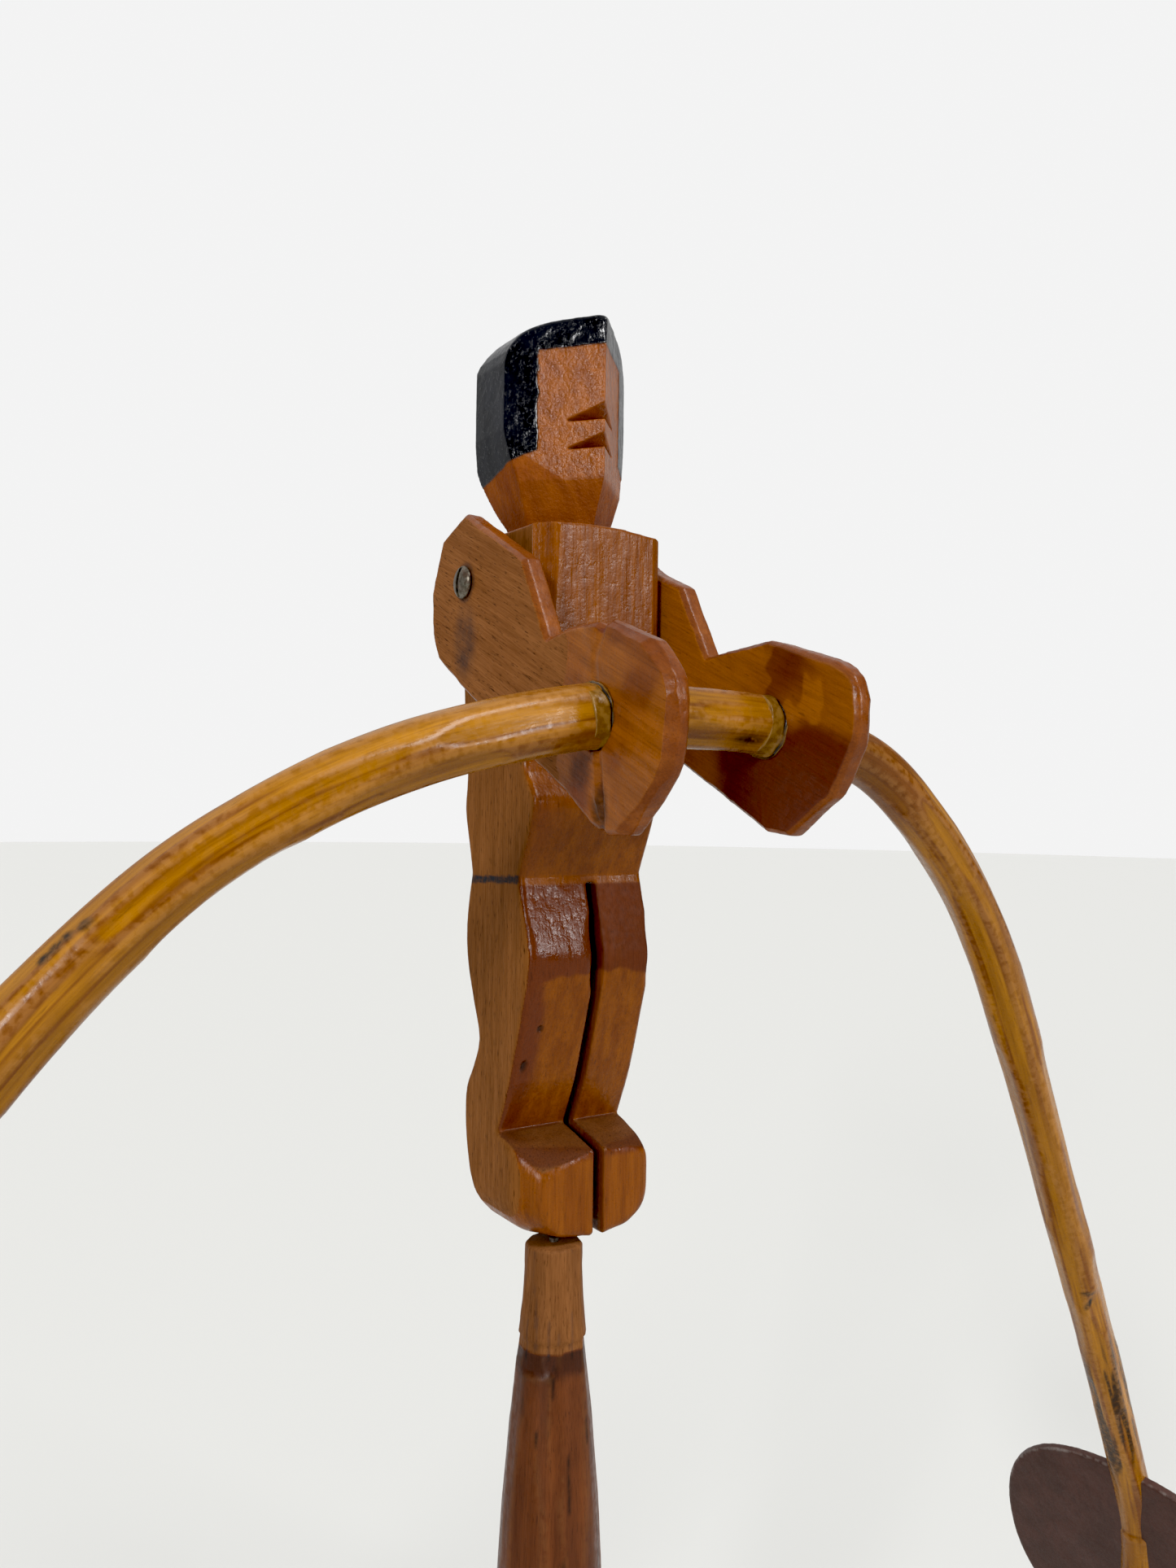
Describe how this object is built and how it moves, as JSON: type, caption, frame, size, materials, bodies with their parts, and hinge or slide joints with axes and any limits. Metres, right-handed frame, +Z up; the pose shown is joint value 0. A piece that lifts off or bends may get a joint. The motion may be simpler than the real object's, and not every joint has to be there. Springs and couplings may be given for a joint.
{
  "type": "balancing figure toy",
  "caption": "Carved wooden figure balancing on a post, holding a bent pole with a steel disc weight on each end.",
  "frame": {"origin": "centre of the underside of the base, straight under the point of support", "axes": "+Z up, the figure faces -Y, +X to the figure's left along the span of the pole"},
  "size_m": [0.4478, 0.15, 0.4366],
  "materials": {
    "felt": "napped felt",
    "base_wood": "stained and waxed",
    "post_wood": "whittled, stained below a bare neck",
    "body_wood": "varnished amber brown",
    "head_wood": "varnished, hair painted gloss black",
    "arm_wood": "varnished amber brown",
    "pole_wood": "knife-cut branch under golden varnish",
    "dowel_wood": "raw",
    "weight_steel": "dark brown patina with a bright edge",
    "screw_steel": "aged, slightly tarnished",
    "brass": "dull"
  },
  "bodies": {
    "stand": {"felt_pad": "felt", "base_board": "base_wood", "base_screw": "screw_steel", "post": "post_wood"},
    "turning_pin": {"pivot_pin": "screw_steel"},
    "bearing_ball": {"pivot_ball": "screw_steel"},
    "figure": {"bearing_cup": "brass", "torso_and_legs": "body_wood", "head": "head_wood", "neck_dowel": "dowel_wood", "right_shoulder_screw": "screw_steel", "left_shoulder_screw": "screw_steel", "right_shoulder_washer": "screw_steel", "left_shoulder_washer": "screw_steel"},
    "arms_and_pole": {"right_arm": "arm_wood", "left_arm": "arm_wood", "balance_pole": "pole_wood", "right_weight_disc": "weight_steel", "left_weight_disc": "weight_steel", "right_disc_pin_1": "screw_steel", "right_disc_pin_2": "screw_steel", "left_disc_pin_1": "screw_steel", "left_disc_pin_2": "screw_steel"}
  },
  "joints": [
    {"name": "figure_spin", "type": "hinge", "parent": "stand", "child": "turning_pin", "pos_m": [0, 0, 0.251], "axis": [0, 0, 1], "continuous": true},
    {"name": "side_rock", "type": "hinge", "parent": "turning_pin", "child": "bearing_ball", "pos_m": [0, 0, 0.251], "axis": [0, 1, 0], "range_deg": [-8, 8]},
    {"name": "fore_aft_rock", "type": "hinge", "parent": "bearing_ball", "child": "figure", "pos_m": [0, 0, 0.251], "axis": [1, 0, 0], "range_deg": [-8, 8]},
    {"name": "arm_swing", "type": "hinge", "parent": "figure", "child": "arms_and_pole", "pos_m": [0.0057, 0.0125, 0.3829], "axis": [1, 0, 0], "range_deg": [-30, 30]}
  ]
}
